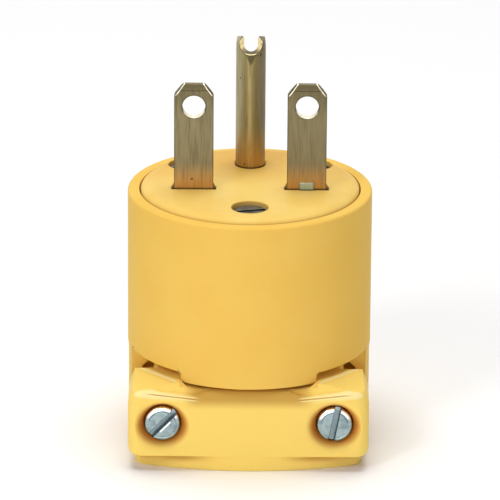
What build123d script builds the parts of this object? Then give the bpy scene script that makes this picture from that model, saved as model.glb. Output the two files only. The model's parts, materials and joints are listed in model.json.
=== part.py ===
from build123d import *
from math import cos, radians, sin
import os

os.makedirs("parts", exist_ok=True)

# The plug stands on its cord end, blades up. Z = 0 is the cord end, the plug's axis is Z,
# -Y is the side of the clamp screws and +Y the side of the ground pin. Millimetres.

# Contacts, in the 15 A 250 V pattern: two blades in one line and a ground pin behind them
blade_width = 6.35
blade_thickness = 1.5
blade_spacing = 18.26
blade_line_y = -2.65
blade_length = 17.8
blade_tip_chamfer_width = 1.45
blade_tip_chamfer_height = 1.95
blade_coin_depth = 0.4
blade_coin_height = 0.9
blade_hole_diameter = 3.75
blade_hole_from_tip = 3.8
blade_foot_height = 0.7
blade_foot_flare = 0.35
ground_pin_width = 4.83
ground_pin_depth = 4.1
ground_pin_sheet = 1.3
ground_pin_length = 21.45
ground_pin_offset = 11.89
ground_notch_width = 4.06
ground_notch_back_width = 2.3
ground_notch_depth = 2.0
ground_tip_taper_width = 0.18
ground_tip_taper_height = 1.6
lance_width = 2.3
lance_height = 1.25
lance_depth = 0.4

# Terminals behind the face
tab_width = 7.0
tab_length = 6.8
tab_bottom_z = 32.75
terminal_reach = 3.7
plate_size = 6.4
plate_thickness = 1.0
terminal_head_diameter = 6.0
terminal_head_height = 1.9
terminal_thread_diameter = 3.4
terminal_screw_length = 6.2
terminal_slot_width = 0.9
terminal_slot_depth = 0.9

# Sleeve of the shell
rim_z = 41.7
sleeve_z = 15.8
sleeve_radius = 19.85
rim_wall = 1.88
sleeve_wall = 2.65
floor_thickness = 2.5
rim_round = 0.5
tongue_half_width = 11.0
tongue_drop = 1.65
tongue_round = 0.9

# Fixed rear jaw, below the sleeve
rear_jaw_inset = 0.15
rear_jaw_blend = 1.0
split_y = -6.0
lip_height = 2.45
lip_inset = 1.0
cord_radius = 6.5
cord_mouth_round = 1.2
relief_wall = 2.3
relief_width = 1.9
relief_height = 2.3
relief_depth = 2.6
relief_below = 1.5
groove_depth = 0.6
groove_width = 2.4
groove_count = 2
groove_spacing = 5.0

# Loose front jaw
jaw_gap = 0.6
jaw_front_inset = 0.05
jaw_side_inset = 0.4
jaw_top_draw = 1.05
jaw_foot_draw = 0.75
jaw_top_z = 14.5
jaw_shoulder_z = 11.1
jaw_foot_round_height = 1.5
jaw_corner_radius = 2.0
jaw_recess_clearance = 0.85
jaw_recess_z = 13.7
jaw_recess_side = 0.6
ear_step_length = 4.2
ear_step_depth = 3.0
ear_bevel_inset = 5.7
ear_bevel_slope = 0.19
shoulder_front_z = 12.5
shoulder_start_x = 8.0
shoulder_rise_x = 0.117
shoulder_rise_y = 0.75
lip_front_radius = 52.0
lip_side_inset = 1.15
lip_corner_radius = 1.5
saddle_clearance = 0.4
saddle_reach = 2.6

# Clamp screws, counterbores and nuts
clamp_screw_inset = 5.55
clamp_screw_z = 7.75
clamp_head_diameter = 5.75
clamp_head_height = 2.2
clamp_head_sink = 0.9
clamp_head_chamfer = 0.45
clamp_bore_diameter = 6.1
clamp_funnel_diameter = 8.8
clamp_funnel_depth = 2.0
clamp_thread_diameter = 3.4
clamp_screw_length = 20.6
clamp_slot_width = 0.95
clamp_slot_depth = 1.1
left_slot_angle = 46.0
right_slot_angle = 79.0
nut_size = 7.2
nut_thickness = 2.8
nut_y = 0.2

# Face disc and contact block
face_raise = 0.85
flange_thickness = 3.2
face_edge_width = 2.2
face_edge_height = 1.1
face_gap = 0.21
block_gap = 0.15
block_bottom_z = 27.95
slot_clearance = 0.08
pocket_clearance = 0.25

# Face screws, their recesses and inserts
front_screw_inset = 8.05
rear_screw_inset = 6.0
rear_screw_angle = 41.05
face_recess_diameter = 5.95
face_head_diameter = 5.4
face_head_height = 1.9
face_head_sink = 0.6
face_thread_diameter = 3.4
face_screw_overrun = 0.5
face_slot_width = 0.9
face_slot_depth = 0.9
boss_diameter = 7.2
insert_diameter = 4.8
insert_length = 5.2

# Insulating cover behind the contact block
cover_thickness = 1.5
cover_gap = 0.1
access_clearance = 0.2

# Fits
thread_clearance = 0.05
screw_clearance = 0.2
seat_clearance = 0.05

# Values that follow from the ones above
face_z = rim_z + face_raise
flange_radius = sleeve_radius - rim_wall - face_gap
ledge_z = face_z - flange_thickness
bore_radius = sleeve_radius - sleeve_wall
floor_z = sleeve_z + floor_thickness
rear_jaw_radius = sleeve_radius - rear_jaw_inset
relief_x = rear_jaw_radius - relief_wall - relief_width / 2
jaw_front_y = jaw_front_inset - sleeve_radius
jaw_half_width = sleeve_radius - jaw_side_inset
jaw_top_half_width = jaw_half_width - jaw_top_draw
jaw_foot_half_width = jaw_half_width - jaw_foot_draw
jaw_recess_radius = sleeve_radius + jaw_recess_clearance
ear_bevel_start = (jaw_half_width - jaw_front_y) * cos(radians(45)) - ear_bevel_inset
lip_half_width = jaw_half_width - lip_side_inset
clamp_screw_x = jaw_half_width - clamp_screw_inset
front_screw_y = front_screw_inset - sleeve_radius
rear_screw_x = (sleeve_radius - rear_screw_inset) * cos(radians(rear_screw_angle))
rear_screw_y = (sleeve_radius - rear_screw_inset) * sin(radians(rear_screw_angle))
block_radius = bore_radius - block_gap
blade_x = blade_spacing / 2
ground_pin_y = blade_line_y + ground_pin_offset
tab_top_z = tab_bottom_z + blade_thickness
terminal_y = blade_line_y - blade_thickness / 2 - terminal_reach
ground_tab_end_y = ground_pin_y - ground_pin_width / 2
ground_terminal_y = ground_tab_end_y - terminal_reach
cover_top_z = block_bottom_z - cover_gap
cover_bottom_z = cover_top_z - cover_thickness
boss_top_z = cover_bottom_z - cover_gap
face_screw_end_z = boss_top_z - insert_length - face_screw_overrun
jaw_back_y = split_y - jaw_gap
head_seat_y = jaw_front_y + clamp_head_sink + clamp_head_height
face_seat_z = face_z - face_head_sink - face_head_height
groove_heights = [
    clamp_screw_z + (index - (groove_count - 1) / 2) * groove_spacing for index in range(groove_count)
]
face_screw_spots = {
    "front": (0, front_screw_y),
    "left": (-rear_screw_x, rear_screw_y),
    "right": (rear_screw_x, rear_screw_y),
}
terminal_spots = {
    "left": (-blade_x, terminal_y),
    "right": (blade_x, terminal_y),
    "ground": (0, ground_terminal_y),
}


def save(part, name):
    part.label = name
    export_step(part, f"parts/{name}.step")


# Shell: sleeve, floor and rear jaw in one moulding
with BuildPart() as shell:
    # Solid of revolution: rear jaw with its recessed lip, then the sleeve
    with BuildSketch(Plane.XZ):
        with BuildLine():
            Polyline(
                (0, 0),
                (rear_jaw_radius - lip_inset, 0),
                (rear_jaw_radius - lip_inset, lip_height),
                (rear_jaw_radius, lip_height),
                (rear_jaw_radius, sleeve_z - rear_jaw_blend),
                (sleeve_radius, sleeve_z),
                (sleeve_radius, rim_z - rim_round),
                (sleeve_radius - rim_round * 0.3, rim_z - rim_round * 0.3),
                (sleeve_radius - rim_round, rim_z),
                (0, rim_z),
                close=True,
            )
        make_face()
    revolve(axis=Axis.Z)
    # Room for the face disc, and the narrower bore below its ledge
    with BuildSketch(Plane.XZ):
        with BuildLine():
            Polyline(
                (0, floor_z),
                (bore_radius, floor_z),
                (bore_radius, ledge_z),
                (flange_radius + face_gap, ledge_z),
                (flange_radius + face_gap, rim_z),
                (0, rim_z),
                close=True,
            )
        make_face()
    revolve(axis=Axis.Z, mode=Mode.SUBTRACT)
    # The front below the sleeve is cut away for the loose jaw, all but a tongue
    with BuildSketch(Plane.XZ.offset(-split_y)):
        with BuildLine():
            FilletPolyline(
                (-sleeve_radius * 2, -lip_height),
                (-sleeve_radius * 2, sleeve_z),
                (-tongue_half_width, sleeve_z),
                (-tongue_half_width, sleeve_z - tongue_drop),
                (tongue_half_width, sleeve_z - tongue_drop),
                (tongue_half_width, sleeve_z),
                (sleeve_radius * 2, sleeve_z),
                (sleeve_radius * 2, -lip_height),
                radius=min(tongue_round, tongue_drop * 0.49),
                close=True,
            )
        make_face()
    extrude(amount=sleeve_radius, mode=Mode.SUBTRACT)
    # Bosses for the face screws, run into the wall at the rear
    with BuildSketch(Plane.XY.offset(sleeve_z)):
        with Locations(*face_screw_spots.values()):
            Circle(boss_diameter / 2)
        Circle(bore_radius, mode=Mode.INTERSECT)
    extrude(amount=boss_top_z - sleeve_z)
    # Cord channel: a round hole through the floor and a U open to the loose jaw
    with BuildSketch(Plane.XY):
        Circle(cord_radius)
    extrude(amount=floor_z, mode=Mode.SUBTRACT)
    with BuildSketch(Plane.XY):
        with Locations((0, split_y / 2)):
            Rectangle(2 * cord_radius, -split_y)
    extrude(amount=sleeve_z, mode=Mode.SUBTRACT)
    Cone(
        cord_radius + cord_mouth_round,
        cord_radius,
        cord_mouth_round,
        align=(Align.CENTER, Align.CENTER, Align.MIN),
        mode=Mode.SUBTRACT,
    )
    # Two small reliefs in the split face, behind the steps in the loose jaw's ears, slanting inwards
    relief_bottom_z = jaw_recess_z - relief_below
    with BuildSketch(Plane.XZ.offset(-split_y)):
        for side in (-1, 1):
            with BuildLine():
                Polyline(
                    (side * (relief_x - relief_width / 2), relief_bottom_z),
                    (side * (relief_x + relief_width / 2), relief_bottom_z),
                    (side * (relief_x + relief_width / 2), relief_bottom_z + relief_height * 0.2),
                    (side * (relief_x - relief_width / 2), relief_bottom_z + relief_height),
                    close=True,
                )
            make_face()
    extrude(amount=-relief_depth, mode=Mode.SUBTRACT)
    # Grooves round the channel leave ribs that bite the cord's jacket
    for groove_z in groove_heights:
        with BuildSketch(Plane.XY.offset(groove_z)):
            Circle(cord_radius + groove_depth)
        extrude(amount=groove_width / 2, both=True, mode=Mode.SUBTRACT)
    # Insert seats and the clearance below them
    with Locations(*[(x, y, boss_top_z) for x, y in face_screw_spots.values()]):
        CounterBoreHole(
            face_thread_diameter / 2 + screw_clearance,
            insert_diameter / 2 + seat_clearance,
            insert_length,
            depth=boss_top_z - floor_z + floor_thickness / 2,
        )
    # Screw holes of the clamp and the slots that hold the square nuts, open at the cord end
    with BuildSketch(Plane.XZ.offset(-split_y)):
        with Locations((-clamp_screw_x, clamp_screw_z), (clamp_screw_x, clamp_screw_z)):
            Circle(clamp_thread_diameter / 2 + screw_clearance)
    extrude(amount=-(clamp_screw_length - (split_y - head_seat_y) + 1), mode=Mode.SUBTRACT)
    nut_slot_top = clamp_screw_z + nut_size / 2 + seat_clearance
    with BuildSketch(Plane.XY):
        with Locations((-clamp_screw_x, nut_y), (clamp_screw_x, nut_y)):
            Rectangle(nut_size + 2 * seat_clearance, nut_thickness + 2 * seat_clearance)
    extrude(amount=nut_slot_top, mode=Mode.SUBTRACT)
save(shell.part, "shell")


# Contact carrier: face disc and the block behind it
with BuildPart() as contact_carrier:
    # Disc with a broad, low rounding round its edge, drawn as three chords
    with BuildSketch(Plane.XZ):
        with BuildLine():
            Polyline(
                (flange_radius, face_z - face_edge_height),
                (flange_radius, ledge_z),
                (0, ledge_z),
                (0, face_z),
                (flange_radius - face_edge_width, face_z),
                (flange_radius - face_edge_width * 0.5, face_z - face_edge_height * 0.15),
                (flange_radius - face_edge_width * 0.15, face_z - face_edge_height * 0.5),
                close=True,
            )
        make_face()
    revolve(axis=Axis.Z)
    with BuildSketch(Plane.XY.offset(block_bottom_z)):
        Circle(block_radius)
    extrude(amount=ledge_z - block_bottom_z)
    # Pockets for the terminals, open at the back
    pocket_width = tab_width + 2 * pocket_clearance
    blade_pocket_back = blade_line_y + blade_thickness / 2 + pocket_clearance
    blade_pocket_length = blade_thickness + tab_length + 2 * pocket_clearance
    ground_pocket_back = ground_pin_y + ground_pin_depth - ground_pin_width / 2 + pocket_clearance
    ground_pocket_length = ground_pocket_back - (ground_tab_end_y - tab_length) + pocket_clearance
    with BuildSketch(Plane.XY.offset(block_bottom_z)):
        with Locations(
            (-blade_x, blade_pocket_back - blade_pocket_length / 2),
            (blade_x, blade_pocket_back - blade_pocket_length / 2),
        ):
            Rectangle(pocket_width, blade_pocket_length)
        with Locations((0, ground_pocket_back - ground_pocket_length / 2)):
            Rectangle(pocket_width, ground_pocket_length)
    extrude(amount=tab_top_z - block_bottom_z, mode=Mode.SUBTRACT)
    # Slots for the blades and the U-shaped hole for the ground pin
    with BuildSketch(Plane.XY.offset(tab_top_z)):
        with Locations((-blade_x, blade_line_y), (blade_x, blade_line_y)):
            Rectangle(
                blade_width + 2 * (blade_foot_flare + slot_clearance),
                blade_thickness + 2 * slot_clearance,
            )
        with Locations((0, ground_pin_y)):
            Circle(ground_pin_width / 2 + slot_clearance)
        pin_straight = ground_pin_depth - ground_pin_width / 2 + slot_clearance
        with Locations((0, ground_pin_y + pin_straight / 2)):
            Rectangle(ground_pin_width + 2 * slot_clearance, pin_straight)
    extrude(amount=face_z - tab_top_z, mode=Mode.SUBTRACT)
    # Recesses of the three face screws
    with Locations(*[(x, y, face_z) for x, y in face_screw_spots.values()]):
        CounterBoreHole(
            face_thread_diameter / 2 + screw_clearance,
            face_recess_diameter / 2,
            face_z - face_seat_z,
            depth=face_z - block_bottom_z,
        )
    # Room above each tab for the end of its screw
    terminal_hole_depth = terminal_screw_length + 1
    with BuildSketch(Plane.XY.offset(tab_bottom_z)):
        with Locations(*terminal_spots.values()):
            Circle(terminal_thread_diameter / 2 + screw_clearance)
    extrude(amount=terminal_hole_depth, mode=Mode.SUBTRACT)
save(contact_carrier.part, "contact_carrier")


# Blades: flat strip with a coined tip, a hole, and a foot bent into the terminal tab
for side, name in ((-1, "blade_left"), (1, "blade_right")):
    tip_z = face_z + blade_length
    with BuildPart() as blade:
        # Broad face of the strip
        with BuildSketch(Plane.XZ.offset(-blade_line_y - blade_thickness / 2)):
            with BuildLine():
                Polyline(
                    (-blade_width / 2, tab_bottom_z),
                    (-blade_width / 2, face_z - blade_foot_height),
                    (-blade_width / 2 - blade_foot_flare, face_z - blade_foot_height),
                    (-blade_width / 2 - blade_foot_flare, face_z + seat_clearance),
                    (-blade_width / 2, face_z + blade_foot_height),
                    (-blade_width / 2, tip_z - blade_tip_chamfer_height),
                    (-blade_width / 2 + blade_tip_chamfer_width, tip_z),
                    (blade_width / 2 - blade_tip_chamfer_width, tip_z),
                    (blade_width / 2, tip_z - blade_tip_chamfer_height),
                    (blade_width / 2, face_z + blade_foot_height),
                    (blade_width / 2 + blade_foot_flare, face_z + seat_clearance),
                    (blade_width / 2 + blade_foot_flare, face_z - blade_foot_height),
                    (blade_width / 2, face_z - blade_foot_height),
                    (blade_width / 2, tab_bottom_z),
                    close=True,
                )
            make_face()
            with Locations((0, tip_z - blade_hole_from_tip)):
                Circle(blade_hole_diameter / 2, mode=Mode.SUBTRACT)
        extrude(amount=blade_thickness)
        # Coined tip: both broad faces slope in to a thinner edge
        with BuildSketch(Plane.YZ):
            for face_side in (-1, 1):
                face_y = blade_line_y + face_side * blade_thickness / 2
                with BuildLine():
                    Polyline(
                        (face_y, tip_z - blade_coin_height),
                        (face_y - face_side * blade_coin_depth, tip_z),
                        (face_y, tip_z),
                        close=True,
                    )
                make_face()
        extrude(amount=blade_width, both=True, mode=Mode.SUBTRACT)
        # Terminal tab, bent towards the clamp-screw side
        tab_y = blade_line_y - blade_thickness / 2 - tab_length / 2
        with BuildSketch(Plane.XY.offset(tab_bottom_z)):
            with Locations((0, tab_y)):
                Rectangle(tab_width, tab_length)
            with Locations((0, terminal_y)):
                Circle(terminal_thread_diameter / 2 + thread_clearance, mode=Mode.SUBTRACT)
        extrude(amount=blade_thickness)
        if side > 0:
            # Small tab lanced out of the strip at the foot of the right blade
            with BuildSketch(Plane.XZ.offset(-blade_line_y + blade_thickness / 2)):
                with Locations((0, face_z + lance_height / 2)):
                    RectangleRounded(lance_width, lance_height, lance_width * 0.15)
            extrude(amount=lance_depth)
    placed = blade.part.moved(Location((side * blade_x, 0, 0)))
    save(placed, name)


# Ground pin: sheet folded to a U, round to the front and open at the back
with BuildPart() as ground_pin:
    pin_tip_z = face_z + ground_pin_length
    arm_end_y = ground_pin_y + ground_pin_depth - ground_pin_width / 2
    arm_x = ground_pin_width / 2
    with BuildSketch(Plane.XY.offset(tab_bottom_z)):
        with BuildLine():
            Line((-arm_x, arm_end_y), (-arm_x, ground_pin_y))
            ThreePointArc((-arm_x, ground_pin_y), (0, ground_pin_y - arm_x), (arm_x, ground_pin_y))
            Line((arm_x, ground_pin_y), (arm_x, arm_end_y))
            Line((arm_x, arm_end_y), (arm_x - ground_pin_sheet, arm_end_y))
            Line((arm_x - ground_pin_sheet, arm_end_y), (arm_x - ground_pin_sheet, ground_pin_y))
            ThreePointArc(
                (arm_x - ground_pin_sheet, ground_pin_y),
                (0, ground_pin_y - arm_x + ground_pin_sheet),
                (ground_pin_sheet - arm_x, ground_pin_y),
            )
            Line((ground_pin_sheet - arm_x, ground_pin_y), (ground_pin_sheet - arm_x, arm_end_y))
            Line((ground_pin_sheet - arm_x, arm_end_y), (-arm_x, arm_end_y))
        make_face()
    extrude(amount=pin_tip_z - tab_bottom_z)
    # Both arms draw in a little towards the tip
    with BuildSketch(Plane.XZ.offset(-arm_end_y)):
        for side in (-1, 1):
            with BuildLine():
                Polyline(
                    (side * arm_x, pin_tip_z - ground_tip_taper_height),
                    (side * (arm_x - ground_tip_taper_width), pin_tip_z),
                    (side * arm_x, pin_tip_z),
                    close=True,
                )
            make_face()
    extrude(amount=ground_pin_depth, mode=Mode.SUBTRACT)
    # Scooped tip: a notch that narrows from the front wall to the arms' ends leaves two prongs
    notch_centre_z = pin_tip_z - ground_notch_depth + ground_notch_width / 2
    notch_front_y = ground_pin_y - arm_x
    with Locations(Plane(origin=(0, notch_front_y, notch_centre_z), z_dir=(0, 1, 0))):
        Cone(
            ground_notch_width / 2,
            ground_notch_back_width / 2,
            ground_pin_depth,
            align=(Align.CENTER, Align.CENTER, Align.MIN),
            mode=Mode.SUBTRACT,
        )
    with BuildSketch(Plane.XY.offset(notch_centre_z)):
        with BuildLine():
            Polyline(
                (-ground_notch_width / 2, notch_front_y),
                (ground_notch_width / 2, notch_front_y),
                (ground_notch_back_width / 2, arm_end_y),
                (-ground_notch_back_width / 2, arm_end_y),
                close=True,
            )
        make_face()
    extrude(amount=ground_notch_depth, mode=Mode.SUBTRACT)
    # Terminal tab, bent towards the plug's axis
    with BuildSketch(Plane.XY.offset(tab_bottom_z)):
        with Locations((0, ground_tab_end_y + ground_pin_sheet / 2 - tab_length / 2)):
            Rectangle(tab_width, tab_length + ground_pin_sheet)
        with Locations((0, ground_terminal_y)):
            Circle(terminal_thread_diameter / 2 + thread_clearance, mode=Mode.SUBTRACT)
        with Locations((0, ground_pin_y)):
            Circle(arm_x - ground_pin_sheet, mode=Mode.SUBTRACT)
    extrude(amount=blade_thickness)
save(ground_pin.part, "ground_pin")


# Terminal screws and the plates that press the wires
for name, (x, y) in terminal_spots.items():
    plate_top_z = tab_bottom_z
    head_top_z = plate_top_z - plate_thickness
    with BuildPart() as plate:
        with BuildSketch(Plane.XY.offset(head_top_z)):
            Rectangle(plate_size, plate_size)
            Circle(terminal_thread_diameter / 2 + screw_clearance, mode=Mode.SUBTRACT)
        extrude(amount=plate_thickness)
    save(plate.part.moved(Location((x, y, 0))), f"pressure_plate_{name}")
    with BuildPart() as screw:
        with BuildSketch(Plane.XY.offset(head_top_z - terminal_head_height)):
            Circle(terminal_head_diameter / 2)
        extrude(amount=terminal_head_height)
        with BuildSketch(Plane.XY.offset(head_top_z)):
            Circle(terminal_thread_diameter / 2)
        extrude(amount=terminal_screw_length)
        with BuildSketch(Plane.XY.offset(head_top_z - terminal_head_height)):
            Rectangle(2 * terminal_head_diameter, terminal_slot_width)
        extrude(amount=terminal_slot_depth, mode=Mode.SUBTRACT)
    screw_name = "ground_screw" if name == "ground" else f"terminal_screw_{name}"
    save(screw.part.moved(Location((x, y, 0))), screw_name)


# Insulating cover behind the contact block
with BuildPart() as terminal_cover:
    with BuildSketch(Plane.XY.offset(cover_bottom_z)):
        Circle(block_radius)
        with Locations(*face_screw_spots.values()):
            Circle(face_thread_diameter / 2 + screw_clearance, mode=Mode.SUBTRACT)
        with Locations(*terminal_spots.values()):
            Circle(terminal_head_diameter / 2 + access_clearance, mode=Mode.SUBTRACT)
    extrude(amount=cover_thickness)
save(terminal_cover.part, "terminal_cover")


# Face screws and the threaded inserts that they run into
for name, (x, y) in face_screw_spots.items():
    with BuildPart() as screw:
        with BuildSketch(Plane.XY.offset(face_seat_z)):
            Circle(face_head_diameter / 2)
        extrude(amount=face_head_height)
        chamfer(screw.edges().group_by(Axis.Z)[-1], face_head_height * 0.15)
        with BuildSketch(Plane.XY.offset(face_seat_z)):
            Circle(face_thread_diameter / 2)
        extrude(amount=face_screw_end_z - face_seat_z)
        with BuildSketch(Plane.XY.offset(face_seat_z + face_head_height)):
            Rectangle(2 * face_head_diameter, face_slot_width, rotation=14)
        extrude(amount=-face_slot_depth, mode=Mode.SUBTRACT)
    save(screw.part.moved(Location((x, y, 0))), f"face_screw_{name}")
    with BuildPart() as insert:
        with BuildSketch(Plane.XY.offset(boss_top_z - insert_length)):
            Circle(insert_diameter / 2)
            Circle(face_thread_diameter / 2 + thread_clearance, mode=Mode.SUBTRACT)
        extrude(amount=insert_length)
    save(insert.part.moved(Location((x, y, 0))), f"insert_{name}")


# Loose front jaw: one half is made and mirrored
with BuildPart() as clamp_jaw:
    # Front view: bulging side, drawn in at the top and rounded at the foot
    with BuildSketch(Plane.XZ.offset(-jaw_back_y)):
        with BuildLine():
            Line((0, lip_height), (jaw_foot_half_width, lip_height))
            ThreePointArc(
                (jaw_foot_half_width, lip_height),
                (jaw_foot_half_width + (jaw_half_width - jaw_foot_half_width) * 0.71,
                 lip_height + jaw_foot_round_height * 0.29),
                (jaw_half_width, lip_height + jaw_foot_round_height),
            )
            Line((jaw_half_width, lip_height + jaw_foot_round_height), (jaw_half_width, jaw_shoulder_z))
            Line((jaw_half_width, jaw_shoulder_z), (jaw_top_half_width, jaw_top_z))
            Line((jaw_top_half_width, jaw_top_z), (0, jaw_top_z))
            Line((0, jaw_top_z), (0, lip_height))
        make_face()
    extrude(amount=jaw_back_y - jaw_front_y)
    # Plan view: round front corners
    with BuildSketch(Plane.XY):
        with Locations((0, jaw_front_y)):
            RectangleRounded(
                2 * jaw_half_width,
                4 * jaw_corner_radius + 2 * (jaw_back_y - jaw_front_y),
                jaw_corner_radius,
                align=(Align.CENTER, Align.MIN),
            )
    extrude(amount=jaw_top_z, mode=Mode.INTERSECT)
    # Shoulder that falls to the front, and lower in the middle than at the corners
    corner_rise = shoulder_rise_x * (jaw_half_width - shoulder_start_x)
    with BuildSketch(Plane.XZ.offset(-jaw_front_y)):
        with BuildLine():
            Polyline(
                (0, shoulder_front_z),
                (shoulder_start_x, shoulder_front_z),
                (jaw_half_width, shoulder_front_z + corner_rise),
                (jaw_half_width, jaw_top_z + jaw_half_width),
                (0, jaw_top_z + jaw_half_width),
                close=True,
            )
        make_face()
    extrude(amount=jaw_half_width, dir=(0, 1, shoulder_rise_y), mode=Mode.SUBTRACT)
    # The ear falls away a little towards the jaw's corner
    with BuildSketch(Plane(origin=(0, 0, 0), x_dir=(1, -1, 0), z_dir=(-1, -1, 0))):
        with BuildLine():
            Polyline(
                (ear_bevel_start, jaw_top_z),
                (ear_bevel_start + jaw_half_width, jaw_top_z - ear_bevel_slope * jaw_half_width),
                (ear_bevel_start + jaw_half_width, jaw_top_z + jaw_half_width),
                (ear_bevel_start, jaw_top_z + jaw_half_width),
                close=True,
            )
        make_face()
    extrude(amount=jaw_half_width, both=True, mode=Mode.SUBTRACT)
    # Recess that clears the shell's tongue
    with BuildSketch(Plane.XY.offset(jaw_recess_z)):
        Circle(jaw_recess_radius)
        Rectangle(
            2 * (tongue_half_width + jaw_recess_side),
            2 * jaw_recess_radius,
            mode=Mode.INTERSECT,
        )
    extrude(amount=jaw_top_z, mode=Mode.SUBTRACT)
    # Step in the back of the ear
    with BuildSketch(Plane.XY.offset(jaw_recess_z - ear_step_depth)):
        with Locations((relief_x - relief_width / 2, jaw_back_y)):
            Rectangle(jaw_half_width, ear_step_length, align=(Align.MIN, Align.MAX))
    extrude(amount=jaw_top_z, mode=Mode.SUBTRACT)
    # Lower lip: a gentle arc that leaves the face towards the sides
    with BuildSketch(Plane.XY) as lip:
        with Locations((0, jaw_back_y)):
            Rectangle(lip_half_width, jaw_back_y - jaw_front_y, align=(Align.MIN, Align.MAX))
        with Locations((0, jaw_front_y + lip_front_radius)):
            Circle(lip_front_radius, mode=Mode.INTERSECT)
        fillet(lip.vertices().sort_by(Axis.Y)[1], lip_corner_radius)
    extrude(amount=lip_height)
    mirror(about=Plane.YZ)
    # Saddle that closes the cord channel, grooved as the shell's half is
    with BuildSketch(Plane.XY):
        with Locations((0, jaw_back_y + saddle_reach / 2)):
            Rectangle(2 * (cord_radius - saddle_clearance), saddle_reach)
        Circle(cord_radius, mode=Mode.SUBTRACT)
    extrude(amount=jaw_recess_z)
    for groove_z in groove_heights:
        with BuildSketch(Plane.XY.offset(groove_z)):
            Circle(cord_radius + groove_depth)
        extrude(amount=groove_width / 2, both=True, mode=Mode.SUBTRACT)
    Cone(
        cord_radius + cord_mouth_round,
        cord_radius,
        cord_mouth_round,
        align=(Align.CENTER, Align.CENTER, Align.MIN),
        mode=Mode.SUBTRACT,
    )
    # Screw holes, counterbores and the funnels round them
    clamp_spots = [
        Plane(origin=(side * clamp_screw_x, jaw_front_y, clamp_screw_z), z_dir=(0, -1, 0))
        for side in (-1, 1)
    ]
    with Locations(*clamp_spots):
        CounterBoreHole(
            clamp_thread_diameter / 2 + screw_clearance,
            clamp_bore_diameter / 2,
            head_seat_y - jaw_front_y,
            depth=jaw_back_y - jaw_front_y,
        )
        Cone(
            clamp_bore_diameter / 2,
            clamp_funnel_diameter / 2,
            clamp_funnel_depth,
            align=(Align.CENTER, Align.CENTER, Align.MAX),
            mode=Mode.SUBTRACT,
        )
save(clamp_jaw.part, "clamp_jaw")


# Clamp screws with slotted heads, and the square nuts in the rear jaw
for side, name, slot_angle in ((-1, "left", left_slot_angle), (1, "right", right_slot_angle)):
    with BuildPart() as screw:
        with BuildSketch(Plane.XZ.offset(-head_seat_y)):
            Circle(clamp_head_diameter / 2)
        extrude(amount=clamp_head_height)
        chamfer(screw.edges().group_by(Axis.Y)[0], clamp_head_chamfer)
        with BuildSketch(Plane.XZ.offset(-head_seat_y)):
            Circle(clamp_thread_diameter / 2)
        extrude(amount=-clamp_screw_length)
        with BuildSketch(Plane.XZ.offset(clamp_head_height - head_seat_y)):
            Rectangle(2 * clamp_head_diameter, clamp_slot_width, rotation=slot_angle)
        extrude(amount=-clamp_slot_depth, mode=Mode.SUBTRACT)
    spot = Location((side * clamp_screw_x, 0, clamp_screw_z))
    save(screw.part.moved(spot), f"clamp_screw_{name}")
    with BuildPart() as nut:
        with BuildSketch(Plane.XZ.offset(-nut_y - nut_thickness / 2)):
            Rectangle(nut_size, nut_size)
            Circle(clamp_thread_diameter / 2 + thread_clearance, mode=Mode.SUBTRACT)
        extrude(amount=nut_thickness)
    save(nut.part.moved(spot), f"clamp_nut_{name}")
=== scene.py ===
import bpy
import bmesh
import json
from math import radians, sin, cos, pi
from mathutils import Matrix, Vector


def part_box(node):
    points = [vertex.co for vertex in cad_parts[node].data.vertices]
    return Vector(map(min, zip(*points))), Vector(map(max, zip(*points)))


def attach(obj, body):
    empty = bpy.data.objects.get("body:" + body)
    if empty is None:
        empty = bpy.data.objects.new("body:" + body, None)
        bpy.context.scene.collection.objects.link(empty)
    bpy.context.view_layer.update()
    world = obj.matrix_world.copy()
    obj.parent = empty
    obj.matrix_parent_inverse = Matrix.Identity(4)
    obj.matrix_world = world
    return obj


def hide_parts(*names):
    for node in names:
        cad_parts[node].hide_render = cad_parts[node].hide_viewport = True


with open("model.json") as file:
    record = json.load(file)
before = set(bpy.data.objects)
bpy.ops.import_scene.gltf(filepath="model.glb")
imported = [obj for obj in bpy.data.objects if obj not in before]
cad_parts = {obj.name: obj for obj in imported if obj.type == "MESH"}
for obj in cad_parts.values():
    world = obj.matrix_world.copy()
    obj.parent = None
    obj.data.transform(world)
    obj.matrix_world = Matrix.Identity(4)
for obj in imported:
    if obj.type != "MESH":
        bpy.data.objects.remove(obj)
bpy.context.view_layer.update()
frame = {"nodes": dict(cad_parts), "record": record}
mm = 0.001
print("frame loaded:", len(frame["nodes"]), "nodes")

# camera, fitted to the blades, the rim and the tongue of the photograph
view = {"distance": 900 * mm, "elevation": 20.11, "roll": 0.40, "focusX": 0.06 * mm,
        "focusZ": 30.87 * mm, "focalPixels": 5520, "framePixels": 500, "sensor": 36.0}


def makeCamera():
    data = bpy.data.cameras.new("camera")
    data.sensor_width = view["sensor"]
    data.lens = view["focalPixels"] / view["framePixels"] * view["sensor"]
    data.clip_start, data.clip_end = 0.05, 20
    camera = bpy.data.objects.new("camera", data)
    bpy.context.scene.collection.objects.link(camera)
    tilt = radians(view["elevation"])
    focus = Vector((view["focusX"], 0, view["focusZ"]))
    camera.location = focus + Vector((0, -cos(tilt), sin(tilt))) * view["distance"]
    turn = (focus - camera.location).to_track_quat("-Z", "Y").to_matrix().to_4x4()
    camera.matrix_world = (Matrix.Translation(camera.location) @ turn
                           @ Matrix.Rotation(radians(view["roll"]), 4, "Z"))
    bpy.context.scene.camera = camera


def toLinear(hexColour):
    # sRGB hex to the linear values that Blender's sockets take
    channels = [int(hexColour[i:i + 2], 16) / 255 for i in (1, 3, 5)]
    return [c / 12.92 if c <= 0.04045 else ((c + 0.055) / 1.055) ** 2.4 for c in channels] + [1.0]


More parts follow.
